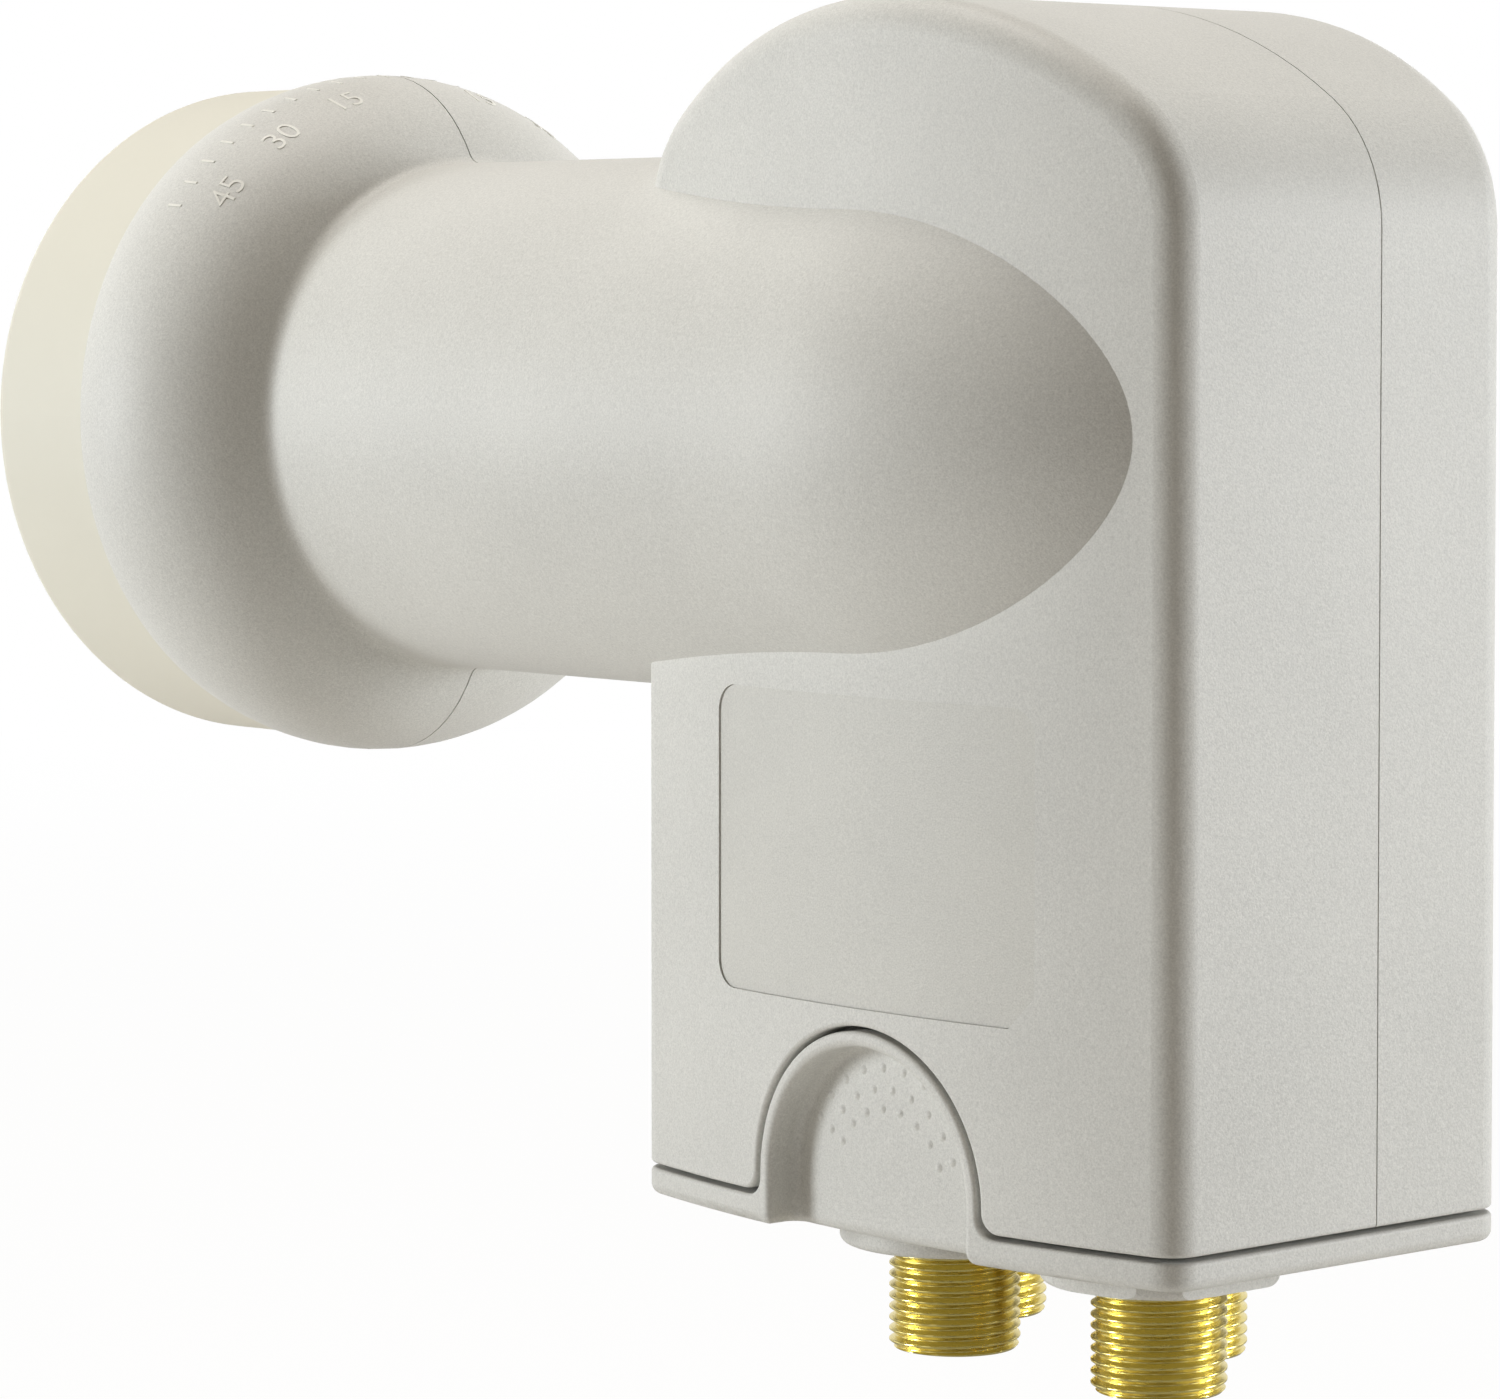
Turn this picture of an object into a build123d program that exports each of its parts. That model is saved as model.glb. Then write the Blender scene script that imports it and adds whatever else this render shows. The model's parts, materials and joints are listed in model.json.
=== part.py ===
"""Satellite low-noise block converter with four ports and a sliding weather shield.

Millimetres. +Z is up, the neck runs along Y with the horn mouth facing -Y, and the label face looks along +X.
The origin is on the neck axis, at the middle of the straight seat that a dish clamp grips.
"""
import os
from math import asin, cos, sin, sqrt, tan

from build123d import *

# Fits
slip = 0.15                 # radial room between pieces that seat in each other
slide_gap = 0.35            # room between the sliding shield and what it passes

# Neck and collar
neck_r = 20.0               # the usual 40 mm clamp neck
seat_half = 16.2            # half the straight length of the neck
wall = 2.0                  # moulded wall
collar_core_r = 14.3        # radius from the axis to the centre of the collar's round section
collar_roll_r = 13.0        # radius of that section
collar_lip = 4.3            # from the widest place of the collar forward to its front face
collar_root_r = 1.5         # hollow where the collar meets the neck

# Nose, where the neck runs out in the label face
nose_reach = 29.8           # from where it begins to the back of the body
nose_arc_r = 40.0           # arc that carries the neck's outline in towards the axis
nose_trim = 1.0             # the hidden tip ends this far inside the back

# Body
body_mid_x = -6.9           # the body is set off to the side of the neck axis
body_half_width = 19.55
body_length = 55.4
body_top_z = 30.4
seam_z = -54.6              # lower edge of the shells
face_bulge = 3.3            # rise of the wide faces over their length
arch_r = 40.0               # arched top
shoulder_r = 11.0           # between the arch and the upright ends
edge_r = 2.5                # round edge of the wide faces
inner_edge_r = 1.0
parting_x = -10.2           # where the two shells meet on the body
parting_gap = 0.12          # hairline between the shells
seam_edge_r = 0.3           # broken edges along the seam

# Label field
face_shift = -0.1           # label and grip stand this far behind the middle of the face
label_width = 32.9
label_height = 21.9
label_top = 36.2            # from the seam up to the label's top edge
label_depth = 0.3
label_corner_r = 2.0
label_corner_cut = 2.3      # the lower back corner is cut off

# Weather shield
rim_height = 2.0
rim_edge_r = 0.8
shield_travel = 28.0
sleeve_wall = 1.5
ledge_height = 2.0          # stop ledge inside the shells
ledge_rise = 0.6            # above the seam
ledge_width = 1.0
lip_height = 2.0            # outward lip on top of the sleeve, which lands on the ledge
grip_r = 11.3
grip_rise = 1.4             # centre of the grip arch above the seam
grip_flare_r = 1.5
grip_border = 1.1
grip_depth = 2.7
grip_edge_r = 0.5           # rounded edge of the sunk field
grip_floor_r = 0.6

# Horn cap
cap_step = 0.1              # the cap's side stands this far inside the collar's front edge
cap_length = 12.45
cap_wall = 1.5
cap_side_wall = 2.4
cap_edge_r = 1.2
cap_spigot = 3.0            # how far the cap reaches into the collar
cap_spigot_wall = 1.6

# Horn and waveguide
guide_r = 9.5
guide_wall = 1.8
guide_end = 44.0            # closed end of the waveguide, from the front of the body
horn_throat_y = -14.0
horn_recess = 3.0           # horn mouth behind the inside of the cap
horn_web = 1.5
choke_wall = 1.3
choke_gap = 1.5
choke_count = 2
choke_room = 1.7            # between the outer choke ring and the inside of the cap
seat_disc = 2.0             # discs that centre the casting in the neck
seat_disc_pitch = 22.0
seal_thickness = 1.0

# Board tray
tray_inset = 5.5            # tray wall inside the body's outer form
tray_wall = 1.5
tray_plate_x = -10.0        # plate of the tray, beside the waveguide
tray_plate = 1.5
gasket_thickness = 0.5
lid_thickness = 1.0
pillar_r = 2.4
screw_r = 1.1
screw_head_r = 2.0
screw_head = 1.0
screw_length = 4.0
screw_room = 1.0            # between the lid screws and the sliding sleeve
pillar_inset = 3.2          # pillar axis inside the tray wall
pillar_mid_z = -12.0
pillar_top_z = 20.0

# Circuit board
board_thickness = 1.0
board_margin = 0.6
board_screw_r = 0.9
board_screw_head_r = 1.7
board_screw_head = 0.8
board_screw_length = 3.0
board_post_r = 2.0
board_screw_spread = 12.0
board_screw_z = -6.0
chip = 5.0
chip_height = 0.9
chip_pitch = 12.0
chip_z = 4.0
switch_chip_size = 7.0
switch_chip_z = -18.0
crystal_length = 3.2
crystal_width = 2.5
crystal_height = 0.8
regulator_width = 4.5
regulator_length = 3.5
regulator_height = 1.2
regulator_z = -34.0

# Probes
probe_r = 0.5
probe_reach = 5.0
straight_probe_y = 14.0     # from the front of the body
bent_probe_y = 29.0
probe_hole_room = 0.9

# Ports
port_r = 4.76               # 3/8 inch outside thread, left plain here
port_shank_r = 5.0          # smooth shank that is pressed into the casting
port_chamfer = 0.35
port_bore_r = 3.2
port_top_wall = 2.0
port_row_gap = 11.0
port_stagger = 8.7          # the far row stands this far in front of the near row
port_front_room = 13.7      # from the front of the body to the first port
port_back_room = 12.2       # from the last port to the back of the body
port_reach = 7.65           # free thread below the raised discs
port_wall = 4.0             # wall of the casting that holds the ports
boss_r = 8.35
boss_drop = 1.9             # raised discs below the rim's lower face
boss_edge_r = 0.6
base_inset = 5.15
base_thickness = 2.6
base_step = 0.5             # the base's flat lies this far above the rim's lower face
insulator_recess = 0.8
contact_r = 0.45
contact_room = 0.1
lead_height = 4.0           # bend of a near port's lead above the port wall
lead_hole_r = 1.2
seal_r = 5.7
seal_height = 1.2

# Places worked out from the sizes above
body_front_y = seat_half
body_back_y = body_front_y + body_length
body_mid_y = body_front_y + body_length / 2
face_mid_y = body_mid_y + face_shift
bulge_r = ((body_length / 2) ** 2 + face_bulge ** 2) / (2 * face_bulge)
arch_z = body_top_z - arch_r
nose_y = body_back_y - nose_reach
nose_end_y = body_back_y - nose_trim
collar_mid_y = -seat_half - sqrt(collar_roll_r**2 - (neck_r - collar_core_r) ** 2)
collar_front_y = collar_mid_y - collar_lip
collar_front_r = collar_core_r + sqrt(collar_roll_r**2 - collar_lip**2)
cap_r = collar_front_r - cap_step
cap_bore_r = cap_r - cap_side_wall
horn_mouth_r = cap_bore_r - choke_room - choke_wall - choke_count * (choke_gap + choke_wall)
bore_r = neck_r - wall
ledge_inset = wall + ledge_width
sleeve_inset = ledge_inset + slide_gap
sleeve_bore_inset = sleeve_inset + sleeve_wall
rim_top_z = seam_z - slide_gap
rim_bottom_z = rim_top_z - rim_height
ledge_z = seam_z + ledge_rise
ledge_top_z = ledge_z + ledge_height
sleeve_top_z = ledge_top_z + shield_travel + lip_height
grip_z = seam_z + grip_rise
arch_gap_r = grip_r + slide_gap
floor_offset = body_half_width - grip_depth
base_bottom_z = rim_bottom_z + base_step
base_top_z = base_bottom_z + base_thickness
boss_z = rim_bottom_z - boss_drop
port_tip_z = boss_z - port_reach
port_top_z = base_top_z + port_wall
tray_half = body_length / 2 - tray_inset
pillar_half = tray_half - pillar_inset
sleeve_reach = sqrt((bulge_r - sleeve_bore_inset) ** 2 - pillar_half**2) - (bulge_r - body_half_width)
screw_face_x = body_mid_x - sleeve_reach + screw_room
lid_face_x = screw_face_x + screw_head
lid_x = lid_face_x + lid_thickness
tray_rim_x = lid_x + gasket_thickness
tray_floor_x = tray_plate_x - tray_plate
tray_depth = tray_plate_x - tray_rim_x
lid_floor_z = port_top_z + slip
tray_floor_z = port_top_z + tray_wall
guide_outer_r = guide_r + guide_wall
guide_end_y = body_front_y + guide_end

near_row_x = body_mid_x + port_row_gap / 2
far_row_x = body_mid_x - port_row_gap / 2
port_pitch = body_length - port_front_room - port_back_room - port_stagger
far_first_y = body_front_y + port_front_room
near_first_y = far_first_y + port_stagger
ports = [
    (far_row_x, far_first_y),
    (near_row_x, near_first_y),
    (far_row_x, far_first_y + port_pitch),
    (near_row_x, near_first_y + port_pitch),
]
board_x = far_row_x - contact_r                 # the far leads lie against this face of the board
board_back_x = board_x - board_thickness
probe_span = probe_reach - guide_r - board_x
pillars = [
    (body_mid_y - pillar_half, port_top_z + pillar_inset),
    (body_mid_y + pillar_half, port_top_z + pillar_inset),
    (body_mid_y - pillar_half, pillar_mid_z),
    (body_mid_y + pillar_half, pillar_mid_z),
    (body_mid_y, pillar_top_z),
]
board_posts = [
    (body_mid_y - board_screw_spread, board_screw_z),
    (body_mid_y + board_screw_spread, board_screw_z),
]

os.makedirs("parts", exist_ok=True)


def save(part, label):
    """Name a finished piece and write it."""
    part.label = label
    export_step(part, f"parts/{label}.step")


def plan_face(inset, z, corner_r=0.0):
    """Level section of the body, moved in from its outer form, with bulged wide sides."""
    half_y = body_length / 2 - inset
    half_x = sqrt((bulge_r - inset) ** 2 - half_y**2) - (bulge_r - body_half_width)
    crown_x = body_half_width - inset
    front = body_mid_y - half_y
    back = body_mid_y + half_y
    left = body_mid_x - half_x
    right = body_mid_x + half_x
    with BuildSketch(Plane.XY.offset(z)) as plan:
        with BuildLine():
            Line((left, front), (right, front))
            ThreePointArc((right, front), (body_mid_x + crown_x, body_mid_y), (right, back))
            Line((right, back), (left, back))
            ThreePointArc((left, back), (body_mid_x - crown_x, body_mid_y), (left, front))
        make_face()
        if corner_r > 0:
            fillet(plan.vertices(), corner_r)
    return plan.sketch


def side_face(inset, floor_z, x):
    """Upright section of the body along Y, moved in from its outer form: straight ends and an arched top."""
    width = body_length - 2 * inset
    with BuildSketch(Plane.YZ.offset(x)) as side:
        with Locations((body_mid_y, arch_z + arch_r / 2)):
            Rectangle(width, arch_r)
        with Locations((body_mid_y, arch_z)):
            Circle(arch_r - inset, mode=Mode.INTERSECT)
        fillet(side.vertices().sort_by(Axis.Y)[-2:], shoulder_r - inset)
        with Locations((body_mid_y, (floor_z + arch_z) / 2)):
            Rectangle(width, arch_z - floor_z)
    return side.sketch


def body_form(inset, floor_z, round_r=0.0):
    """The body as a full solid: one half crossed from both sections, its wide face rounded, then mirrored."""
    with BuildPart() as form:
        extrude(side_face(inset, floor_z, body_mid_x), amount=2 * body_half_width)
        extrude(plan_face(inset, floor_z), amount=body_top_z - floor_z + wall, mode=Mode.INTERSECT)
        if round_r > 0:
            wide_face = form.faces().sort_by(Axis.X)[-1]
            fillet(wide_face.edges().filter_by(lambda edge: edge.center().Z > floor_z + round_r), round_r)
        mirror(about=Plane.YZ.offset(body_mid_x))
    return form.part


def barrel_form(inset):
    """Collar, neck and nose as a full solid of revolution, moved in from their outer form."""
    roll_r = collar_roll_r - inset
    seat_r = neck_r - inset
    front_r = collar_core_r + sqrt(roll_r**2 - collar_lip**2)
    seat_y = collar_mid_y + sqrt(roll_r**2 - (seat_r - collar_core_r) ** 2)
    arc_r = nose_arc_r - inset
    tip_y = nose_end_y - inset
    turn = asin((tip_y - nose_y) / arc_r)
    tip_r = seat_r - arc_r * (1 - cos(turn))
    handle = 4 / 3 * tan(turn / 4) * arc_r          # a cubic with such handles follows the arc
    with BuildPart() as form:
        with BuildSketch() as half:
            with BuildLine():
                Line((0, tip_y), (0, collar_front_y))
                Line((0, collar_front_y), (front_r, collar_front_y))
                ThreePointArc(
                    (front_r, collar_front_y), (collar_core_r + roll_r, collar_mid_y), (seat_r, seat_y)
                )
                Line((seat_r, seat_y), (seat_r, nose_y))
                Bezier(
                    (seat_r, nose_y),
                    (seat_r, nose_y + handle),
                    (tip_r + handle * sin(turn), tip_y - handle * cos(turn)),
                    (tip_r, tip_y),
                )
                Line((tip_r, tip_y), (0, tip_y))
            make_face()
            fillet(half.vertices().sort_by_distance((seat_r, seat_y))[0], collar_root_r)
        revolve(axis=Axis.Y)
    return form.part


def arch_face(radius, top_z):
    """Outline of the shield's front: everything below the seam and the grip arch that rises from it."""
    low_z = boss_z
    with BuildSketch(Plane.YZ.offset(body_mid_x)) as region:
        with Locations((body_mid_y, (low_z + top_z) / 2)):
            Rectangle(body_length + 2 * grip_r, top_z - low_z)
        with Locations((face_mid_y, grip_z)):
            Circle(radius)
        seam_corners = region.vertices().group_by(Axis.Y)[-1]
        fillet(seam_corners.sort_by_distance((face_mid_y, top_z))[:2], grip_flare_r)
    return region.sketch


def face_offset(edge):
    """How far an edge's centre stands from the body's middle towards a wide face."""
    return abs(edge.center().X - body_mid_x)


def outside(edge):
    """True for an edge on the outside of the body, and not one that runs across it."""
    end_offset = abs(edge.center().Y - body_mid_y)
    return face_offset(edge) > body_half_width / 2 or end_offset > body_length / 2 - edge_r


def in_grip(edge):
    """True for an edge beside or in the sunk thumb grip, above the rim's lower face."""
    return abs(edge.center().Y - face_mid_y) < grip_r and edge.center().Z > rim_bottom_z + slip


def label_side(gap):
    """Region on the label side of the parting, widened by a gap: the neck parts on its axis, the body beside it."""
    reach = 2 * body_length
    with BuildPart() as region:
        with BuildSketch(Plane.XY.offset(rim_bottom_z)):
            with BuildLine():
                Polyline(
                    (-gap, -reach),
                    (reach, -reach),
                    (reach, reach),
                    (parting_x - gap, reach),
                    (parting_x - gap, body_front_y - gap),
                    (-gap, body_front_y - gap),
                    close=True,
                )
            make_face()
        extrude(amount=2 * (body_top_z - rim_bottom_z))
    return region.part


# Shallow label field, the same depth all over the bulged face
with BuildPart() as label_field:
    with BuildSketch(Plane.YZ.offset(body_mid_x)) as label_outline:
        with Locations((face_mid_y, seam_z + label_top - label_height / 2)):
            Rectangle(label_width, label_height)
        corners = label_outline.vertices().sort_by_distance((body_back_y, seam_z))
        fillet(corners[1:], label_corner_r)
        chamfer(corners[0], label_corner_cut)
    extrude(amount=2 * body_half_width)
    extrude(plan_face(label_depth, seam_z), amount=body_top_z - seam_z, mode=Mode.SUBTRACT)

# Stop ledge for the shield, inside the lower edge of both shells
with BuildPart() as stop_ledge:
    extrude(plan_face(wall / 2, ledge_z), amount=ledge_height)
    extrude(plan_face(ledge_inset, ledge_z, inner_edge_r), amount=ledge_height, mode=Mode.SUBTRACT)
    extrude(arch_face(arch_gap_r, seam_z), amount=2 * body_half_width, both=True, mode=Mode.SUBTRACT)

# Whole housing before it is parted
with BuildPart() as housing:
    add(body_form(0, seam_z, edge_r))
    add(barrel_form(0))
    extrude(arch_face(arch_gap_r, seam_z), amount=2 * body_half_width, both=True, mode=Mode.SUBTRACT)
    low_edges = housing.edges().filter_by_position(Axis.Z, seam_z - slip, grip_z + arch_gap_r + slip)
    fillet(low_edges.filter_by(outside), seam_edge_r)
    add(body_form(wall, seam_z - wall), mode=Mode.SUBTRACT)
    add(barrel_form(wall), mode=Mode.SUBTRACT)
    add(stop_ledge.part)
    add(label_field.part, mode=Mode.SUBTRACT)

with BuildPart() as main_shell:
    add(housing.part)
    add(label_side(0), mode=Mode.INTERSECT)
save(main_shell.part, "main_shell")

with BuildPart() as cover_shell:
    add(housing.part)
    add(label_side(parting_gap), mode=Mode.SUBTRACT)
save(cover_shell.part, "cover_shell")

# Thumb grips: sunk fields open at the bottom, one in each wide face of the shield
with BuildPart() as grip_fields:
    field_r = grip_r - grip_border
    field_drop = grip_z - boss_z
    with BuildSketch(Plane.YZ.offset(body_mid_x)):
        with Locations((face_mid_y, grip_z)):
            Circle(field_r)
        with Locations((face_mid_y, grip_z - field_drop / 2)):
            Rectangle(2 * field_r, field_drop)
    extrude(amount=2 * body_half_width, both=True)
    extrude(plan_face(grip_depth, boss_z), amount=body_top_z - boss_z, mode=Mode.SUBTRACT)

# Weather shield: rim and grip arches flush with the shells, on a sleeve that slides up inside them
with BuildPart() as weather_shield:
    extrude(arch_face(grip_r, rim_top_z), amount=2 * body_half_width, both=True)
    extrude(plan_face(0, rim_bottom_z, edge_r), amount=sleeve_top_z - rim_bottom_z, mode=Mode.INTERSECT)
    high_edges = weather_shield.edges().filter_by_position(Axis.Z, rim_top_z - slip, grip_z + grip_r + slip)
    fillet(high_edges.filter_by(outside), seam_edge_r)
    add(grip_fields.part, mode=Mode.SUBTRACT)
    grip_edges = weather_shield.edges(Select.LAST).filter_by(in_grip)
    fillet(grip_edges.filter_by(lambda edge: face_offset(edge) > body_half_width - grip_depth / 3), grip_edge_r)
    grip_edges = weather_shield.edges().filter_by(in_grip).filter_by(outside)
    fillet(grip_edges.filter_by(lambda edge: face_offset(edge) < floor_offset + slip), grip_floor_r)
    fillet(weather_shield.faces().sort_by(Axis.Z)[0].edges(), rim_edge_r)
    extrude(plan_face(sleeve_inset, rim_top_z, inner_edge_r), amount=sleeve_top_z - rim_top_z)
    extrude(plan_face(wall + slide_gap, sleeve_top_z, inner_edge_r), amount=-lip_height)
    extrude(
        plan_face(sleeve_bore_inset, rim_bottom_z, inner_edge_r),
        amount=sleeve_top_z - rim_bottom_z,
        mode=Mode.SUBTRACT,
    )
save(weather_shield.part, "weather_shield")

# Horn cap: a cup on the collar's front face, with a spigot into the collar
cap_front_y = collar_front_y - cap_length
collar_bore_r = collar_core_r + sqrt((collar_roll_r - wall) ** 2 - collar_lip**2)
spigot_r = collar_bore_r - slip
spigot_end_y = collar_front_y + cap_spigot
with BuildPart() as horn_cap:
    with BuildSketch() as cap_half:
        with BuildLine():
            Polyline(
                (0, cap_front_y),
                (cap_r, cap_front_y),
                (cap_r, collar_front_y),
                (spigot_r, collar_front_y),
                (spigot_r, spigot_end_y),
                (spigot_r - cap_spigot_wall, spigot_end_y),
                (spigot_r - cap_spigot_wall, collar_front_y - cap_spigot_wall),
                (cap_bore_r, collar_front_y - cap_spigot_wall),
                (cap_bore_r, cap_front_y + cap_wall),
                (0, cap_front_y + cap_wall),
                close=True,
            )
        make_face()
        fillet(cap_half.vertices().sort_by_distance((cap_r, cap_front_y))[0], cap_edge_r)
    revolve(axis=Axis.Y)
save(horn_cap.part, "horn_cap")

# Flat rubber ring between the cap's spigot and the web of the horn
web_front_y = spigot_end_y + seal_thickness
with BuildPart() as horn_seal:
    with BuildSketch(Plane.XZ.offset(-web_front_y)):
        Circle(spigot_r)
        Circle(spigot_r - cap_spigot_wall, mode=Mode.SUBTRACT)
    extrude(amount=seal_thickness)
save(horn_seal.part, "horn_seal")

# Casting: horn with choke rings, waveguide with seat discs, board tray and port wall
horn_mouth_y = cap_front_y + cap_wall + horn_recess
web_back_y = web_front_y + horn_web
with BuildPart() as cast_chassis:
    with BuildSketch() as horn_half:
        with BuildLine():
            Polyline(
                (0, horn_mouth_y),
                (horn_mouth_r + choke_wall, horn_mouth_y),
                (horn_mouth_r + choke_wall, web_back_y),
                (guide_outer_r, horn_throat_y),
                (guide_outer_r, guide_end_y),
                (0, guide_end_y),
                close=True,
            )
        make_face()
        with Locations((spigot_r / 2, web_front_y + horn_web / 2)):
            Rectangle(spigot_r, horn_web)
        for ring in range(choke_count):
            ring_r = horn_mouth_r + choke_wall + (ring + 1) * choke_gap + (ring + 0.5) * choke_wall
            with Locations((ring_r, (horn_mouth_y + web_front_y) / 2)):
                Rectangle(choke_wall, web_front_y - horn_mouth_y)
        for disc_y in (-seat_disc_pitch / 2, seat_disc_pitch / 2):
            with Locations(((bore_r - slip) / 2, disc_y)):
                Rectangle(bore_r - slip, seat_disc)
    revolve(axis=Axis.Y)
    extrude(side_face(tray_inset, base_top_z, tray_plate_x), amount=-tray_depth)
    extrude(
        side_face(tray_inset + tray_wall, tray_floor_z, tray_floor_x),
        amount=-tray_depth,
        mode=Mode.SUBTRACT,
    )
    extrude(plan_face(base_inset + slip, base_top_z, inner_edge_r), amount=port_wall)
    with BuildSketch(Plane.YZ.offset(tray_plate_x)):
        with Locations(*pillars):
            Circle(pillar_r)
    extrude(amount=-tray_depth)
    with BuildSketch(Plane.YZ.offset(tray_plate_x)):
        with Locations(*board_posts):
            Circle(board_post_r)
    extrude(amount=board_x - tray_plate_x)
    with BuildSketch() as guide_half:
        with BuildLine():
            Polyline(
                (0, horn_mouth_y),
                (horn_mouth_r, horn_mouth_y),
                (guide_r, horn_throat_y),
                (guide_r, guide_end_y - guide_wall),
                (0, guide_end_y - guide_wall),
                close=True,
            )
        make_face()
    revolve(axis=Axis.Y, mode=Mode.SUBTRACT)
    with BuildSketch(Plane.XY.offset(base_top_z)):
        with Locations(*ports):
            Circle(port_shank_r + slip)
    extrude(amount=port_wall, mode=Mode.SUBTRACT)
    with BuildSketch(Plane.XY.offset(port_top_z)):
        with Locations(*ports):
            Circle(lead_hole_r)
    extrude(amount=tray_wall, mode=Mode.SUBTRACT)
    with BuildSketch(Plane.YZ.offset(tray_rim_x)):
        with Locations(*pillars):
            Circle(screw_r)
    extrude(amount=screw_length, mode=Mode.SUBTRACT)
    with BuildSketch(Plane.YZ.offset(board_x)):
        with Locations(*board_posts):
            Circle(board_screw_r)
    extrude(amount=tray_plate_x - board_x - slip, mode=Mode.SUBTRACT)
    with BuildSketch(Plane.YZ.offset(board_x)):
        with Locations(*[(y, port_top_z + lead_height) for x, y in ports if x == near_row_x]):
            Circle(lead_hole_r)
        with Locations((body_front_y + straight_probe_y, 0), (body_front_y + bent_probe_y, 0)):
            Circle(probe_r + probe_hole_room)
    extrude(amount=probe_span, mode=Mode.SUBTRACT)
save(cast_chassis.part, "cast_chassis")

# Lid over the tray, with the gasket between
with BuildPart() as lid_gasket:
    extrude(side_face(tray_inset, lid_floor_z, tray_rim_x), amount=-gasket_thickness)
    extrude(
        side_face(tray_inset + tray_wall, tray_floor_z, tray_rim_x),
        amount=-gasket_thickness,
        mode=Mode.SUBTRACT,
    )
save(lid_gasket.part, "lid_gasket")

with BuildPart() as chassis_lid:
    extrude(side_face(tray_inset, lid_floor_z, lid_x), amount=-lid_thickness)
    with BuildSketch(Plane.YZ.offset(lid_x)):
        with Locations(*pillars):
            Circle(screw_r + slip)
    extrude(amount=-lid_thickness, mode=Mode.SUBTRACT)
save(chassis_lid.part, "chassis_lid")

with BuildPart() as lid_screws:
    with BuildSketch(Plane.YZ.offset(lid_face_x)):
        with Locations(*pillars):
            Circle(screw_head_r)
    extrude(amount=-screw_head)
    with BuildSketch(Plane.YZ.offset(lid_face_x)):
        with Locations(*pillars):
            Circle(screw_r - slip)
    extrude(amount=screw_length)
save(lid_screws.part, "lid_screws")

# Circuit board on its posts, cut round the lid pillars
with BuildPart() as circuit_board:
    extrude(
        side_face(tray_inset + tray_wall + board_margin, tray_floor_z + board_margin, board_x),
        amount=-board_thickness,
    )
    with BuildSketch(Plane.YZ.offset(board_x)):
        with Locations(*pillars):
            Circle(pillar_r + board_margin)
        with Locations(*board_posts):
            Circle(board_screw_r + slip)
    extrude(amount=-board_thickness, mode=Mode.SUBTRACT)
save(circuit_board.part, "circuit_board")

with BuildPart() as board_screws:
    with BuildSketch(Plane.YZ.offset(board_back_x)):
        with Locations(*board_posts):
            Circle(board_screw_head_r)
    extrude(amount=-board_screw_head)
    with BuildSketch(Plane.YZ.offset(board_back_x)):
        with Locations(*board_posts):
            Circle(board_screw_r - slip)
    extrude(amount=board_screw_length)
save(board_screws.part, "board_screws")

# Parts soldered on the outer face of the board
with BuildPart() as converter_chips:
    with BuildSketch(Plane.YZ.offset(board_back_x)):
        with Locations((body_mid_y, chip_z)):
            with GridLocations(chip_pitch, chip_pitch, 2, 1):
                Rectangle(chip, chip)
    extrude(amount=-chip_height)
save(converter_chips.part, "converter_chips")

with BuildPart() as switch_chip:
    with BuildSketch(Plane.YZ.offset(board_back_x)):
        with Locations((body_mid_y, switch_chip_z)):
            Rectangle(switch_chip_size, switch_chip_size)
    extrude(amount=-chip_height)
save(switch_chip.part, "switch_chip")

with BuildPart() as reference_crystal:
    with BuildSketch(Plane.YZ.offset(board_back_x)):
        with Locations((body_mid_y, chip_z)):
            RectangleRounded(crystal_width, crystal_length, crystal_width / 8)
    extrude(amount=-crystal_height)
save(reference_crystal.part, "reference_crystal")

with BuildPart() as regulators:
    with BuildSketch(Plane.YZ.offset(board_back_x)):
        with Locations(*[(y, regulator_z) for x, y in ports]):
            Rectangle(regulator_width, regulator_length)
    extrude(amount=-regulator_height)
save(regulators.part, "regulators")

# Probes from the board through the waveguide wall; the bent one turns across the guide
with BuildPart() as straight_probe:
    with BuildSketch(Plane.YZ.offset(board_x)):
        with Locations((body_front_y + straight_probe_y, 0)):
            Circle(probe_r)
    extrude(amount=probe_span)
save(straight_probe.part, "straight_probe")

with BuildPart() as bent_probe:
    with BuildSketch(Plane.YZ.offset(board_x)):
        with Locations((body_front_y + bent_probe_y, 0)):
            Circle(probe_r)
    extrude(amount=probe_span)
    with BuildSketch(Plane.XY):
        with Locations((probe_reach - guide_r, body_front_y + bent_probe_y)):
            Circle(probe_r)
    extrude(amount=probe_reach)
    with Locations((probe_reach - guide_r, body_front_y + bent_probe_y, 0)):
        Sphere(probe_r)
save(bent_probe.part, "bent_probe")

def boss_form(x, y):
    """Raised disc round a port, with a rounded lower edge."""
    with BuildPart() as disc:
        with BuildSketch(Plane.XY.offset(boss_z)):
            with Locations((x, y)):
                Circle(boss_r)
        extrude(amount=base_top_z - boss_z)
        fillet(disc.edges().sort_by(Axis.Z)[0], boss_edge_r)
    return disc.part


# Moulded base under the casting, with a raised disc round each port and pockets for the seals
with BuildPart() as connector_base:
    extrude(plan_face(0, base_bottom_z), amount=base_thickness)
    for x, y in ports:
        add(boss_form(x, y))
    extrude(plan_face(base_inset + slip, boss_z, inner_edge_r), amount=base_top_z - boss_z, mode=Mode.INTERSECT)
    with BuildSketch(Plane.XY.offset(boss_z)):
        with Locations(*ports):
            Circle(port_shank_r + slip)
    extrude(amount=base_top_z - boss_z, mode=Mode.SUBTRACT)
    with BuildSketch(Plane.XY.offset(base_top_z)):
        with Locations(*ports):
            Circle(seal_r)
    extrude(amount=-seal_height, mode=Mode.SUBTRACT)
save(connector_base.part, "connector_base")

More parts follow.
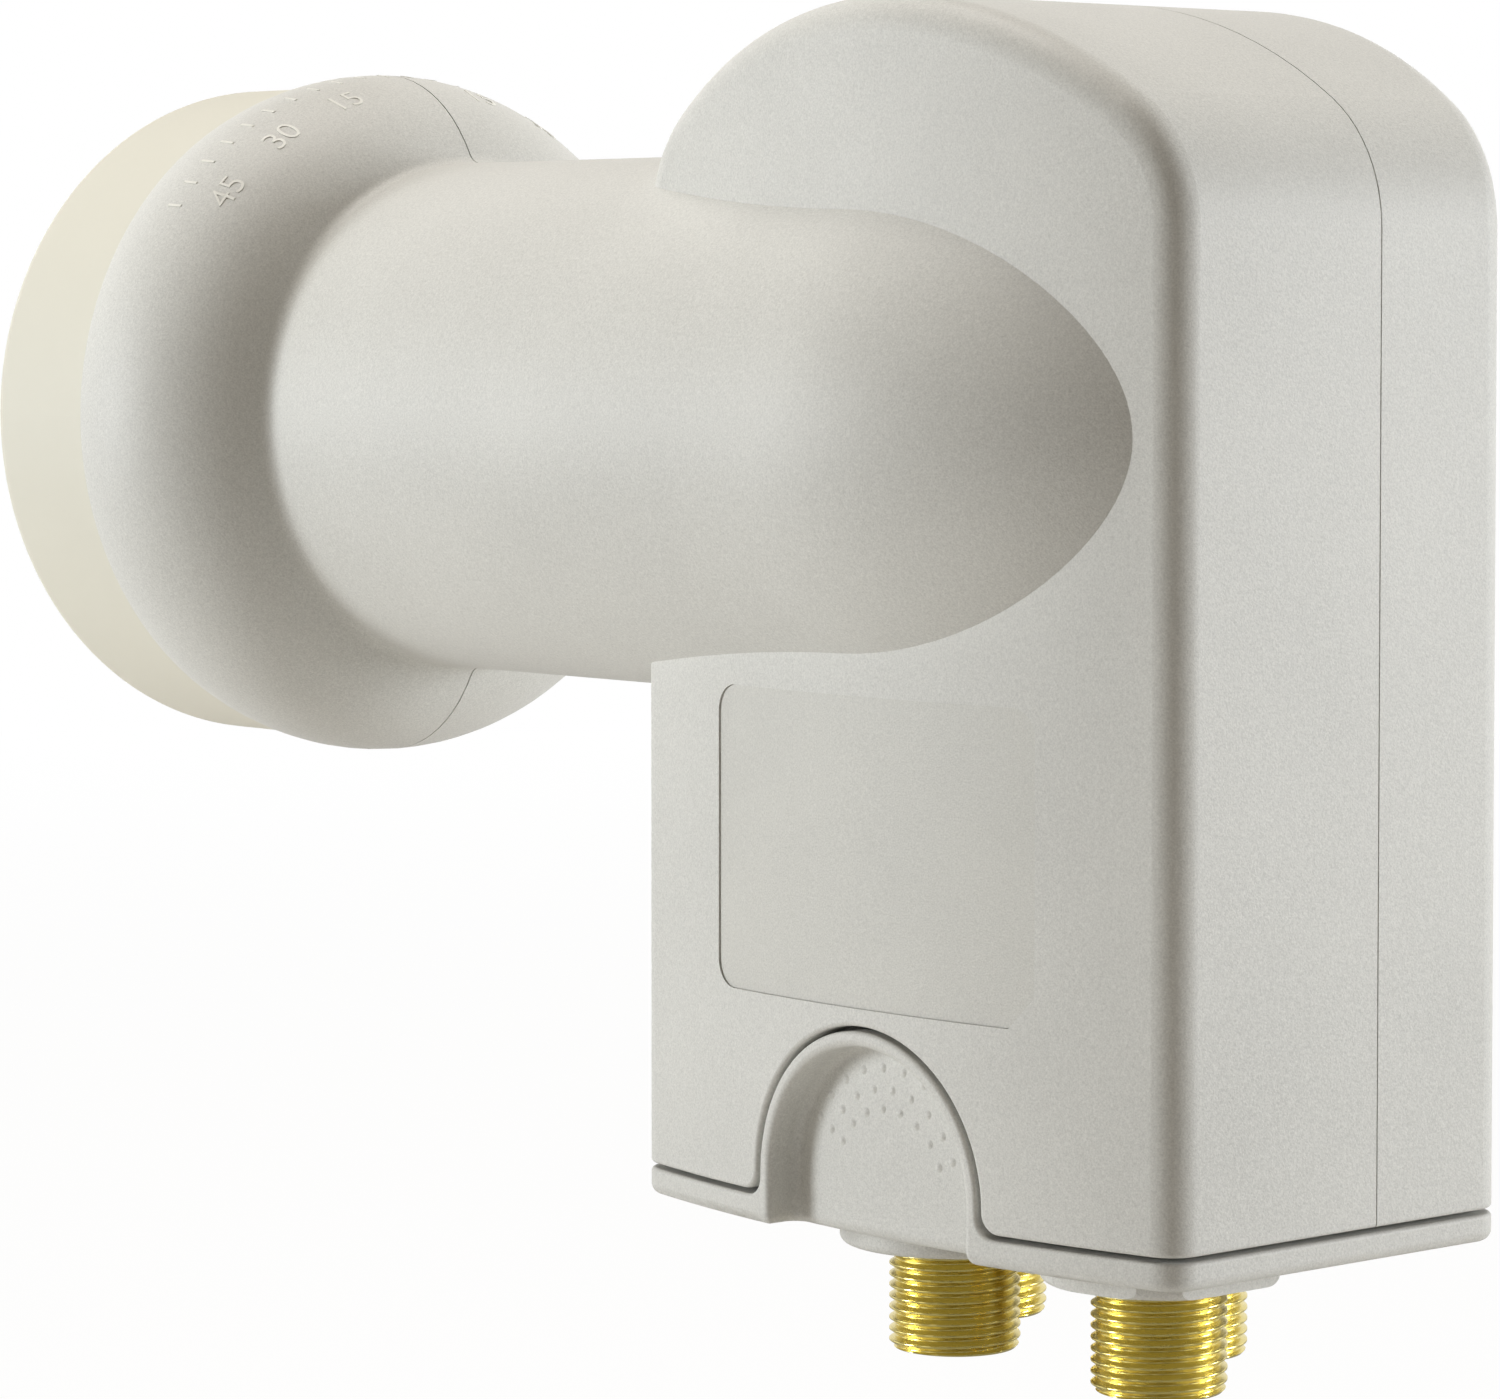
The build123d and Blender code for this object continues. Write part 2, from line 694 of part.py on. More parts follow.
# Four ports, each with its seal, insulator and centre contact
for number, (x, y) in enumerate(ports, start=1):
    with BuildPart() as f_connector:
        with BuildSketch(Plane.XY.offset(port_tip_z)):
            with Locations((x, y)):
                Circle(port_r)
        extrude(amount=boss_z - port_tip_z)
        chamfer(f_connector.edges().sort_by(Axis.Z)[0], port_chamfer)
        with BuildSketch(Plane.XY.offset(boss_z)):
            with Locations((x, y)):
                Circle(port_shank_r)
        extrude(amount=port_top_z - boss_z)
        with BuildSketch(Plane.XY.offset(port_tip_z)):
            with Locations((x, y)):
                Circle(port_bore_r)
        extrude(amount=port_top_z - port_top_wall - port_tip_z, mode=Mode.SUBTRACT)
        with BuildSketch(Plane.XY.offset(port_top_z)):
            with Locations((x, y)):
                Circle(lead_hole_r)
        extrude(amount=-port_top_wall, mode=Mode.SUBTRACT)
    save(f_connector.part, f"f_connector_{number}")

    with BuildPart() as port_seal:
        with BuildSketch(Plane.XY.offset(base_top_z)):
            with Locations((x, y)):
                Circle(seal_r)
                Circle(port_shank_r + slip, mode=Mode.SUBTRACT)
        extrude(amount=-seal_height)
    save(port_seal.part, f"port_seal_{number}")

    with BuildPart() as port_insulator:
        with BuildSketch(Plane.XY.offset(port_tip_z + insulator_recess)):
            with Locations((x, y)):
                Circle(port_bore_r)
                Circle(contact_r + contact_room, mode=Mode.SUBTRACT)
        extrude(amount=port_top_z - port_top_wall - port_tip_z - insulator_recess)
    save(port_insulator.part, f"port_insulator_{number}")

    with BuildPart() as port_contact:
        bend_z = port_top_z + lead_height
        start_z = port_tip_z + 2 * insulator_recess
        with BuildSketch(Plane.XY.offset(start_z)):
            with Locations((x, y)):
                Circle(contact_r)
        extrude(amount=bend_z - start_z)
        if x == near_row_x:
            with Locations((x, y, bend_z)):
                Sphere(contact_r)
            with BuildSketch(Plane.YZ.offset(board_x)):
                with Locations((y, bend_z)):
                    Circle(contact_r)
            extrude(amount=x - board_x)
    save(port_contact.part, f"port_contact_{number}")
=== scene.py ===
import json
import math

import bpy
import numpy as np
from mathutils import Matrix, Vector


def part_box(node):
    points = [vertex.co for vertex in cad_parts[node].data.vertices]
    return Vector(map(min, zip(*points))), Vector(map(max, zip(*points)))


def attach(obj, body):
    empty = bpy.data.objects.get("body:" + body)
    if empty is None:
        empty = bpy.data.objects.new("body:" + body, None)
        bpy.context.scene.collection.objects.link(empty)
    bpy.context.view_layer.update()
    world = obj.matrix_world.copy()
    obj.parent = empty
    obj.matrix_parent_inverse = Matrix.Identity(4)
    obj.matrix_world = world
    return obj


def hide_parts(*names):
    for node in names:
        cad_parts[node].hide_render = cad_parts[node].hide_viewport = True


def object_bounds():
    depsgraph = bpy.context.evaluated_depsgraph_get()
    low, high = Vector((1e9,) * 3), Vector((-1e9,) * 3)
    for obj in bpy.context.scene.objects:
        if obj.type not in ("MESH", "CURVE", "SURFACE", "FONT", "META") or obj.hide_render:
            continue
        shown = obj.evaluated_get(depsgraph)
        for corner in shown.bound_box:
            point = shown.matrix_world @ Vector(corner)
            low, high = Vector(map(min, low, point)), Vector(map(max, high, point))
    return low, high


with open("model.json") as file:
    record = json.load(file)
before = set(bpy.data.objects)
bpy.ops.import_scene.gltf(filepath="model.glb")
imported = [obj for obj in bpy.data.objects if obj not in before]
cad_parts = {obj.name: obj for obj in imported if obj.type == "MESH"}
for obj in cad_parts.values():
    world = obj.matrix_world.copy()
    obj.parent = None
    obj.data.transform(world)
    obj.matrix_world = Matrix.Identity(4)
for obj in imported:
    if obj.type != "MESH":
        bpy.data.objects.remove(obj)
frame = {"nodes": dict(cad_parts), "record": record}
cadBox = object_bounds()
nodes = frame["nodes"]
mm = 0.001

# Camera: level in the photograph, with the lower part of a taller picture cut out, so part of that is lens shift
photoView = {
    "width": 1500,                      # picture in pixels
    "height": 1399,
    "eye": (261.77, 320.58, 9.33),      # mm
    "azimuth": 139.182,                 # degrees, 0 looks along +Y
    "focal": 5358.0,                    # pixels
    "horizonRow": 297.8,                # row of the eye's own height
    "shift": -0.11,                     # share of the width that the lens is shifted, the rest is tilt
    "sensor": 36.0,                     # mm
    "nearClip": 0.01,                   # m
}


def placeCamera(v):
    camera = bpy.data.objects.new("photoCamera", bpy.data.cameras.new("photoCamera"))
    bpy.context.scene.collection.objects.link(camera)
    axisRow = v["height"] / 2 + v["shift"] * v["width"]
    tilt = math.atan((axisRow - v["horizonRow"]) / v["focal"])
    turn = math.radians(v["azimuth"])
    look = Vector((-math.sin(turn) * math.cos(tilt), math.cos(turn) * math.cos(tilt), -math.sin(tilt)))
    camera.location = Vector(v["eye"]) * mm
    camera.rotation_euler = look.to_track_quat("-Z", "Y").to_euler()
    camera.data.sensor_fit = "HORIZONTAL"
    camera.data.sensor_width = v["sensor"]
    camera.data.lens = v["focal"] / v["width"] * v["sensor"]
    camera.data.shift_y = v["shift"]
    camera.data.clip_start = v["nearClip"]
    bpy.context.scene.camera = camera


placeCamera(photoView)
bpy.context.scene.view_settings.view_transform = "Standard"


class Wire:                             # a socket that takes part in Python sums
    def __init__(self, sheet, socket):
        self.sheet = sheet
        self.socket = socket

    def math(self, operation, *values):
        return self.sheet.node("ShaderNodeMath", {"operation": operation}, dict(enumerate(values))).wire()

    def __add__(self, other):
        return self.math("ADD", self, other)

    def __radd__(self, other):
        return self.math("ADD", other, self)

    def __sub__(self, other):
        return self.math("SUBTRACT", self, other)

    def __rsub__(self, other):
        return self.math("SUBTRACT", other, self)

    def __mul__(self, other):
        return self.math("MULTIPLY", self, other)

    def __rmul__(self, other):
        return self.math("MULTIPLY", other, self)

    def most(self, other):              # the larger of two values
        return self.math("MAXIMUM", self, other)


class Placed:                           # a node on a sheet, whose outputs are wires
    def __init__(self, sheet, made):
        self.sheet = sheet
        self.made = made

    def wire(self, output=0):
        return Wire(self.sheet, self.made.outputs[output])


class Sheet:                            # the node sheet of a material or of the world
    def __init__(self, tree):
        self.tree = tree
        tree.nodes.clear()

    def node(self, kind, settings=None, sockets=None):
        made = self.tree.nodes.new(kind)
        for name, value in (settings or {}).items():
            setattr(made, name, value)
        for name, value in (sockets or {}).items():
            if isinstance(value, Placed):
                value = value.wire()
            if isinstance(value, Wire):
                self.tree.links.new(value.socket, made.inputs[name])
            else:
                made.inputs[name].default_value = value
        return Placed(self, made)

    def place(self):
        return self.node("ShaderNodeTexCoord").wire("Object")

    def noise(self, place, scale, detail=2.0, roughness=0.5):
        values = {"Vector": place, "Scale": scale, "Detail": detail, "Roughness": roughness}
        return self.node("ShaderNodeTexNoise", None, values).wire("Fac")

    def blend(self, share, first, second):
        values = {"Factor": share, 6: first, 7: second}
        return self.node("ShaderNodeMix", {"data_type": "RGBA"}, values).wire(2)

    def ease(self, value, start, end, first, second):
        values = {"Value": value, "From Min": start, "From Max": end, "To Min": first, "To Max": second}
        return self.node("ShaderNodeMapRange", {"interpolation_type": "SMOOTHSTEP"}, values).wire()

    def along(self, vector):            # share of a vector that points the way the photograph looks
        turn = math.radians(photoView["azimuth"])
        ahead = (-math.sin(turn), math.cos(turn), 0.0)
        return self.node("ShaderNodeVectorMath", {"operation": "DOT_PRODUCT"}, {0: vector, 1: ahead}).wire("Value")

    def bump(self, height, distance, strength=1.0):
        values = {"Height": height, "Distance": distance, "Strength": strength}
        return self.node("ShaderNodeBump", None, values).wire()


def finish(name, draw):                 # draw(sheet) returns the sockets of the surface shader
    made = bpy.data.materials.new(name)
    made.use_nodes = True
    sheet = Sheet(made.node_tree)
    surface = sheet.node("ShaderNodeBsdfPrincipled", None, draw(sheet))
    sheet.node("ShaderNodeOutputMaterial", None, {"Surface": surface})
    return made


def shade(colour, factor):
    return tuple(min(1.0, part * factor) for part in colour[:3]) + (1.0,)


# Moulded housing plastic: warm light grey, spark-eroded grain
housingLook = {
    "colour": (0.605, 0.600, 0.570, 1.0),
    "grain": 3900.0,                    # per metre
    "pores": 7800.0,
    "cloud": 55.0,
    "speckle": 0.40,                    # change of tone either way
    "grainDepth": 0.024 * mm,
    "roughness": 0.54,
    "specular": 0.42,
}


def drawHousing(sheet):
    look = housingLook
    place = sheet.place()
    grain = sheet.noise(place, look["grain"], 3.0, 0.6)
    pores = sheet.noise(place, look["pores"], 1.0)
    cloud = sheet.noise(place, look["cloud"], 2.0)
    tone = grain * 0.4 + pores * 0.4 + cloud * 0.2
    dark, light = shade(look["colour"], 1 - look["speckle"]), shade(look["colour"], 1 + look["speckle"])
    return {
        "Base Color": sheet.blend(tone, dark, light),
        "Roughness": look["roughness"] + (grain - 0.5) * 0.2,
        "Normal": sheet.bump(grain * 0.45 + pores * 0.55, look["grainDepth"]),
        "Specular IOR Level": look["specular"],
    }


# Tops of the raised dial figures: the same plastic, given a paler colour and less roughness than the collar round them
dialTopColour = (0.760, 0.750, 0.700, 1.0)


def drawDialTops(sheet):
    fine = sheet.noise(sheet.place(), housingLook["grain"], 2.0)
    return {
        "Base Color": sheet.blend(fine, shade(dialTopColour, 0.92), shade(dialTopColour, 1.08)),
        "Roughness": 0.42 + fine * 0.15,
        "Normal": sheet.bump(fine, 0.01 * mm),
    }


# Bare label film: satin, a little darker and warmer than the plastic round it
labelLook = {
    "colour": (0.575, 0.567, 0.530, 1.0),
    "cloud": 70.0,                      # per metre
    "speckle": 0.34,
    "grainDepth": 0.03 * mm,
    "roughness": 0.50,
    "specular": 0.4,
}


def drawLabelFilm(sheet):
    look = labelLook
    place = sheet.place()
    fine = sheet.noise(place, housingLook["pores"], 2.0)
    cloud = sheet.noise(place, look["cloud"], 2.0)
    dark, light = shade(look["colour"], 1 - look["speckle"]), shade(look["colour"], 1 + look["speckle"])
    return {
        "Base Color": sheet.blend(fine * 0.7 + cloud * 0.3, dark, light),
        "Roughness": look["roughness"] + (cloud - 0.5) * 0.12,
        "Normal": sheet.bump(fine, look["grainDepth"]),
        "Specular IOR Level": look["specular"],
    }


# Horn cap: smooth cream plastic that lets microwaves through
capLook = {
    "colour": (0.675, 0.655, 0.570, 1.0),
    "roughness": 0.58,
    "specular": 0.3,
}


def drawCap(sheet):
    look = capLook
    place = sheet.place()
    cloud = sheet.noise(place, 40.0, 3.0)
    fine = sheet.noise(place, 1800.0, 2.0)
    return {
        "Base Color": sheet.blend(cloud, shade(look["colour"], 0.97), shade(look["colour"], 1.03)),
        "Roughness": look["roughness"] + (fine - 0.5) * 0.12,
        "Normal": sheet.bump(fine, 0.006 * mm, 0.5),
        "Specular IOR Level": look["specular"],
    }


# Gold flash on turned brass
goldLook = {
    "colour": (0.820, 0.690, 0.245, 1.0),
    "roughness": 0.22,
}


def drawGold(sheet):
    look = goldLook
    place = sheet.place()
    cloud = sheet.noise(place, 260.0, 3.0)
    lines = sheet.node("ShaderNodeMapping", None, {"Vector": place, "Scale": (300.0, 300.0, 9000.0)}).wire()
    turning = sheet.noise(lines, 1.0, 2.0)
    return {
        "Base Color": sheet.blend(cloud, shade(look["colour"], 0.86), shade(look["colour"], 1.08)),
        "Metallic": 1.0,
        "Roughness": look["roughness"] + turning * 0.10 + (cloud - 0.5) * 0.08,
        "Normal": sheet.bump(turning, 0.004 * mm, 0.4),
    }


# Finishes of the sealed pieces: colour, metal share, roughness, grain per metre, grain depth in mm
innerLooks = {
    "cast_metal": ((0.52, 0.52, 0.53, 1.0), 0.9, 0.48, 1500.0, 0.03),
    "sheet_metal": ((0.62, 0.61, 0.58, 1.0), 1.0, 0.30, 700.0, 0.01),
    "seal_rubber": ((0.030, 0.030, 0.032, 1.0), 0.0, 0.62, 2200.0, 0.02),
    "screw_steel": ((0.55, 0.55, 0.56, 1.0), 1.0, 0.28, 1800.0, 0.01),
    "board_laminate": ((0.045, 0.160, 0.070, 1.0), 0.0, 0.42, 900.0, 0.01),
    "chip_resin": ((0.022, 0.022, 0.024, 1.0), 0.0, 0.55, 2400.0, 0.01),
    "insulator_white": ((0.80, 0.79, 0.75, 1.0), 0.0, 0.45, 1500.0, 0.01),
    "contact_brass": ((0.72, 0.52, 0.20, 1.0), 1.0, 0.26, 1600.0, 0.005),
}


def drawInner(slot):
    colour, metal, roughness, grain, depth = innerLooks[slot]

    def draw(sheet):
        place = sheet.place()
        fine = sheet.noise(place, grain, 3.0)
        return {
            "Base Color": sheet.blend(fine, shade(colour, 0.88), shade(colour, 1.10)),
            "Metallic": metal,
            "Roughness": roughness + (fine - 0.5) * 0.2,
            "Normal": sheet.bump(fine, depth * mm, 0.5),
        }

    return draw


finishes = {
    "housing_plastic": finish("housingPlastic", drawHousing),
    "cap_plastic": finish("capPlastic", drawCap),
    "gold_plate": finish("goldPlate", drawGold),
    "dial_tops": finish("dialTops", drawDialTops),
    "label_film": finish("labelFilm", drawLabelFilm),
}
for innerSlot in innerLooks:
    finishes[innerSlot] = finish(innerSlot, drawInner(innerSlot))
slotOfNode = {part["node"]: part["material_slot"] for part in frame["record"]["subparts"]}
for nodeName, node in nodes.items():
    node.data.materials.clear()
    node.data.materials.append(finishes[slotOfNode[nodeName]])
print("finishes:", len(finishes))


# Studio: a white sweep behind the object, a dim room on the camera's side and three soft lamps
stageLook = {
    "floorZ": -96.0,                    # mm, below the lowered shield
    "floorSize": 6.0,                   # m
    "pale": (0.82, 0.81, 0.79, 1.0),    # of the floor itself, under the white that the camera sees
    "nearGlow": 0.93,                   # share of plain white that the camera sees in the floor near the object
    "farGlow": 1.0,
    "nearReach": 0.15,                  # m
    "farReach": 0.90,
    "frontShown": 0.32,                 # share of white that metal sees in the floor on the camera's side
    "frontEnd": 0.0,                    # m along the look direction
    "sweepStart": 0.30,
}
roomLook = {
    "white": (1.0, 1.0, 1.0, 1.0),
    "tint": (1.0, 0.72, 0.38, 1.0),     # of the light that the sweep and the room give
    "sweepLight": 0.13,
    "roomLight": 0.01,
    "roomShown": 0.16,                  # how bright metal sees the room on the camera's side
    "roomEnd": -0.80,                   # share of the look direction where the room ends
    "sweepStart": -0.60,
}
# Direction from the object, distance m, width and height m, level on a facing surface, tint
lamps = {
    "leftSoftbox": ((0.756, -0.654, 0.04), 0.7, (0.20, 0.30), 0.80, (0.955, 1.0, 1.03)),
    "rightSoftbox": ((-0.756, 0.654, 0.08), 0.8, (0.28, 0.36), 0.85, (0.96, 1.0, 1.035)),
    "topSoftbox": ((0.03, -0.20, 0.98), 1.0, (0.5, 0.5), 0.79, (1.02, 1.0, 0.96)),
}


def makeFloor(look):
    half = look["floorSize"] / 2
    corners = [(-half, -half), (half, -half), (half, half), (-half, half)]
    mesh = bpy.data.meshes.new("paleFloor")
    mesh.from_pydata([(x, y, look["floorZ"] * mm) for x, y in corners], [], [(0, 1, 2, 3)])
    floor = bpy.data.objects.new("paleFloor", mesh)
    bpy.context.scene.collection.objects.link(floor)
    made = bpy.data.materials.new("paleFloor")
    made.use_nodes = True
    sheet = Sheet(made.node_tree)
    reach = sheet.node("ShaderNodeVectorMath", {"operation": "LENGTH"}, {0: sheet.place()}).wire("Value")
    share = sheet.ease(reach, look["nearReach"], look["farReach"], look["nearGlow"], look["farGlow"])
    along = sheet.along(sheet.place())
    behind = sheet.ease(along, look["frontEnd"], look["sweepStart"], look["frontShown"], 1.0)
    rays = sheet.node("ShaderNodeLightPath")
    straight = rays.wire("Is Camera Ray").most(rays.wire("Is Transmission Ray"))
    seen = straight.most(rays.wire("Is Glossy Ray"))
    matt = sheet.node("ShaderNodeBsdfDiffuse", None, {"Color": look["pale"]})
    glowColour = sheet.blend(straight.most(behind), (0.0, 0.0, 0.0, 1.0), (1.0, 1.0, 1.0, 1.0))
    glow = sheet.node("ShaderNodeEmission", None, {"Color": glowColour, "Strength": 1.0})
    mixed = sheet.node("ShaderNodeMixShader", None, {0: seen * share, 1: matt, 2: glow})
    sheet.node("ShaderNodeOutputMaterial", None, {"Surface": mixed})
    mesh.materials.append(made)


def makeLamps():
    centre = Vector(cadBox[0]).lerp(Vector(cadBox[1]), 0.5)
    for name, (direction, distance, size, level, tint) in lamps.items():
        lamp = bpy.data.lights.new(name, "AREA")
        lamp.shape = "RECTANGLE"
        lamp.size, lamp.size_y = size
        lamp.energy = level * math.pi**2 * distance**2
        lamp.color = tint
        body = bpy.data.objects.new(name, lamp)
        bpy.context.scene.collection.objects.link(body)
        away = Vector(direction).normalized()
        body.location = centre + away * distance
        body.rotation_euler = away.to_track_quat("Z", "Y").to_euler()
        body.visible_camera = False


# Light by direction: the room's level on the camera's side, eased to the sweep's level ahead, plain white to the camera
def makeRoom(look):
    world = bpy.data.worlds.new("studio")
    world.use_nodes = True
    bpy.context.scene.world = world
    sheet = Sheet(world.node_tree)
    along = sheet.along(sheet.node("ShaderNodeTexCoord").wire("Generated"))
    lit = sheet.ease(along, look["roomEnd"], look["sweepStart"], look["roomLight"], look["sweepLight"])
    shown = sheet.ease(along, look["roomEnd"], look["sweepStart"], look["roomShown"], 1.0)
    rays = sheet.node("ShaderNodeLightPath")
    glossy = rays.wire("Is Glossy Ray")
    straight = rays.wire("Is Camera Ray").most(rays.wire("Is Transmission Ray"))
    level = straight.most(glossy * shown).most((1 - glossy) * lit)
    colour = sheet.blend(straight.most(glossy), look["tint"], look["white"])
    back = sheet.node("ShaderNodeBackground", None, {"Color": colour, "Strength": level})
    sheet.node("ShaderNodeOutputWorld", None, {"Surface": back})


makeFloor(stageLook)
makeLamps()
makeRoom(roomLook)
print("stage set")


# Quads between neighbouring rings: rows are rings, and each ring closes on itself
def ringQuads(index):
    above, below = index[:-1], index[1:]
    return np.stack([above, np.roll(above, -1, 1), np.roll(below, -1, 1), below], -1).reshape(-1, 4)


# Turns a grid of points into a mesh, closed along its rows and its columns
def gridPiece(name, points, body, slot):
    rows, columns = points.shape[:2]
    index = np.arange(rows * columns).reshape(rows, columns)
    quads = ringQuads(np.concatenate([index, index[:1]]))[:, ::-1]  # outwards
    return meshPiece(name, points.reshape(-1, 3), quads, body, slot)


def meshPiece(name, points, faces, body, slot, crease=35.0, look=None):
    mesh = bpy.data.meshes.new(name)
    mesh.from_pydata(points.tolist(), [], [tuple(face) for face in faces])
    mesh.validate()
    mesh.polygons.foreach_set("use_smooth", np.ones(len(mesh.polygons), dtype=bool))
    mesh.set_sharp_from_angle(angle=math.radians(crease))
    mesh.materials.append(finishes[look or slot])
    piece = bpy.data.objects.new(name, mesh)
    bpy.context.scene.collection.objects.link(piece)
    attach(piece, body)
    return piece


# Threaded ports: one closed profile carried round, its thread a wave in height less turn
portSize = {                            # mm
    "pitch": 0.794,                     # 32 to the inch
    "depth": 0.45,
    "crest": 0.16,                      # share of half a pitch that is flat crest
    "root": 0.10,
    "chamfer": 0.35,
    "shankRadius": 5.0,
    "shankBottom": -58.85,
    "boreRadius": 3.2,
    "boreWall": 2.0,
    "leadRadius": 1.2,
    "columns": 96,
    "rowsPerTurn": 20,
}


# Radius at height z and turn a: port radius less depth times the flank, which climbs straight from crest to root with
# the distance of z / pitch - a from a whole number, and never outside the end's chamfer cone
def makePort(number):
    s = portSize
    node = f"f_connector_{number}"
    low, high = (np.array(corner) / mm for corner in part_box(node))
    x, y = (low + high)[:2] / 2
    tip, top = low[2], high[2]
    mount = next(m for m in frame["record"]["mounts"] if m["name"] == f"f_port_{number}")
    radius = mount["dims"]["r_mm"]
    threadHigh = s["shankBottom"]
    count = int((threadHigh - tip) / s["pitch"] * s["rowsPerTurn"])
    threadZ = np.linspace(threadHigh, tip, count)
    boreTop = top - s["boreWall"]
    head = [(s["leadRadius"], boreTop), (s["leadRadius"], top), (s["shankRadius"], top), (s["shankRadius"], threadHigh)]
    tail = [(s["boreRadius"] + s["chamfer"], tip), (s["boreRadius"], tip + s["chamfer"]), (s["boreRadius"], boreTop)]
    r = np.concatenate([[p[0] for p in head], np.full(count, radius), [p[0] for p in tail]])
    z = np.concatenate([[p[1] for p in head], threadZ, [p[1] for p in tail]])
    turn = np.linspace(0.0, 1.0, s["columns"], endpoint=False)
    threaded = np.zeros(len(r))
    threaded[len(head):len(head) + count] = 1.0
    phase = z[:, None] / s["pitch"] - turn[None, :]
    apart = 2 * np.abs(phase - np.round(phase))                    # 0 on the crest, 1 in the root
    flank = np.clip((apart - s["crest"]) / (1 - s["crest"] - s["root"]), 0, 1)
    ring = r[:, None] - s["depth"] * threaded[:, None] * flank
    ring = np.where(threaded[:, None] > 0, np.minimum(ring, radius - s["chamfer"] + z[:, None] - tip), ring)
    angle = 2 * np.pi * turn[None, :]
    points = np.stack([x + ring * np.cos(angle), y + ring * np.sin(angle), np.broadcast_to(z[:, None], ring.shape)], -1)
    piece = gridPiece(f"threadedPort{number}", points * mm, "housing", "gold_plate")
    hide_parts(node)


for portNumber in (1, 2, 3, 4):
    makePort(portNumber)
print("ports threaded")


# Collar dial: raised numbers and ticks wrapped on the rolled collar
dialSize = {                            # mm and degrees
    "coreRadius": 14.3,                 # from the neck axis to the centre of the rolled section
    "rollRadius": 13.0,
    "middle": -27.88,                   # place of that centre along Y
    "zero": 2.5,                        # turn of the dial's zero from the top
    "numbers": (15, 30, 45),
    "numberAngle": 25.0,                # on the roll, from its widest place towards the neck
    "numberHeight": 2.3,
    "fontScale": 1.4,                   # text size over the height of a number
    "rise": 0.045,
    "thin": 0.035,                      # taken off the strokes, in sizes of the text
    "tickStep": 5,
    "tickLast": 50,
    "tickAngle": 7.0,
    "tickLength": 1.5,
    "tickWidth": 0.22,
}


# A point at (turn, roll, height): the circle of the roll, turned round the neck axis
def onCollar(turn, roll, height):
    s = dialSize
    reach = s["rollRadius"] + height
    radius = s["coreRadius"] + reach * np.cos(roll)
    return np.stack([radius * np.sin(turn), s["middle"] + reach * np.sin(roll), radius * np.cos(turn)], -1)


def letterMesh(text, height):
    curve = bpy.data.curves.new("dialText", "FONT")
    curve.body = text
    curve.size = height * dialSize["fontScale"]
    curve.align_x = "CENTER"
    curve.align_y = "CENTER"
    curve.extrude = 0.5
    curve.offset = -dialSize["thin"]
    curve.resolution_u = 4
    carrier = bpy.data.objects.new("dialText", curve)
    bpy.context.scene.collection.objects.link(carrier)
    bpy.context.view_layer.update()
    mesh = bpy.data.meshes.new_from_object(carrier.evaluated_get(bpy.context.evaluated_depsgraph_get()))
    points = np.zeros(len(mesh.vertices) * 3)
    mesh.vertices.foreach_get("co", points)
    faces = [tuple(face.vertices) for face in mesh.polygons]
    bpy.data.objects.remove(carrier)
    bpy.data.curves.remove(curve)
    bpy.data.meshes.remove(mesh)
    return points.reshape(-1, 3), faces


def makeDial():
    s = dialSize
    crest = s["coreRadius"] + s["rollRadius"]
    points, faces = [], []

    def wrap(flat, outline, turn, roll):
        start = sum(len(p) for p in points)
        height = np.where(flat[:, 2] > 0, s["rise"], -s["rise"])
        points.append(onCollar(turn - flat[:, 0] / crest, roll - flat[:, 1] / s["rollRadius"], height))
        faces.extend(tuple(start + v for v in face) for face in outline)

    for number in s["numbers"]:
        for side in (-1, 1):
            flat, outline = letterMesh(str(number), s["numberHeight"])
            turn = math.radians(s["zero"] + side * number)
            wrap(flat, outline, turn, math.radians(s["numberAngle"]))
    halfWide, halfLong = s["tickWidth"] / 2, s["tickLength"] / 2
    ends = (-1.0, 1.0)
    corners = np.array([(a * halfWide, b * halfLong, c) for c in ends for b in ends for a in ends])
    box = [(0, 2, 3, 1), (4, 5, 7, 6), (0, 1, 5, 4), (2, 6, 7, 3), (0, 4, 6, 2), (1, 3, 7, 5)]
    for degree in range(-s["tickLast"], s["tickLast"] + 1, s["tickStep"]):
        wrap(corners, box, math.radians(s["zero"] + degree), math.radians(s["tickAngle"]))
    return meshPiece("collarDial", np.concatenate(points) * mm, faces, "housing", "housing_plastic", look="dial_tops")


makeDial()
print("dial wrapped")


# Wide face: a circle of the bulge radius, so a point at y and z on it, sunk by depth, has its x from that circle
faceSize = {                            # mm
    "middle": (-6.9, 43.9),             # X and Y of the body's middle
    "halfWidth": 19.55,
    "bulgeRadius": 117.9,
}


def onFace(y, z, depth, side=1):
    s = faceSize
    reach = np.sqrt((s["bulgeRadius"] - depth) ** 2 - (y - s["middle"][1]) ** 2)
    return np.stack([s["middle"][0] + side * (s["halfWidth"] - s["bulgeRadius"] + reach), y, z], -1)


# Grip dots: soft bells on three arcs, on the floor of each sunk thumb grip
dotSize = {                             # mm and degrees
    "centre": (43.8, -53.2),            # Y and Z of the grip's round top
    "arcs": ((8.5, 10), (7.0, 9), (5.6, 8)),
    "first": 22.0,
    "last": 150.0,
    "radius": 0.55,
    "height": 0.13,
    "foot": 0.05,                       # of the bell, below the floor
    "columns": 12,
    "rows": 5,
    "floorDepth": 2.7,
    "crease": 60.0,
}


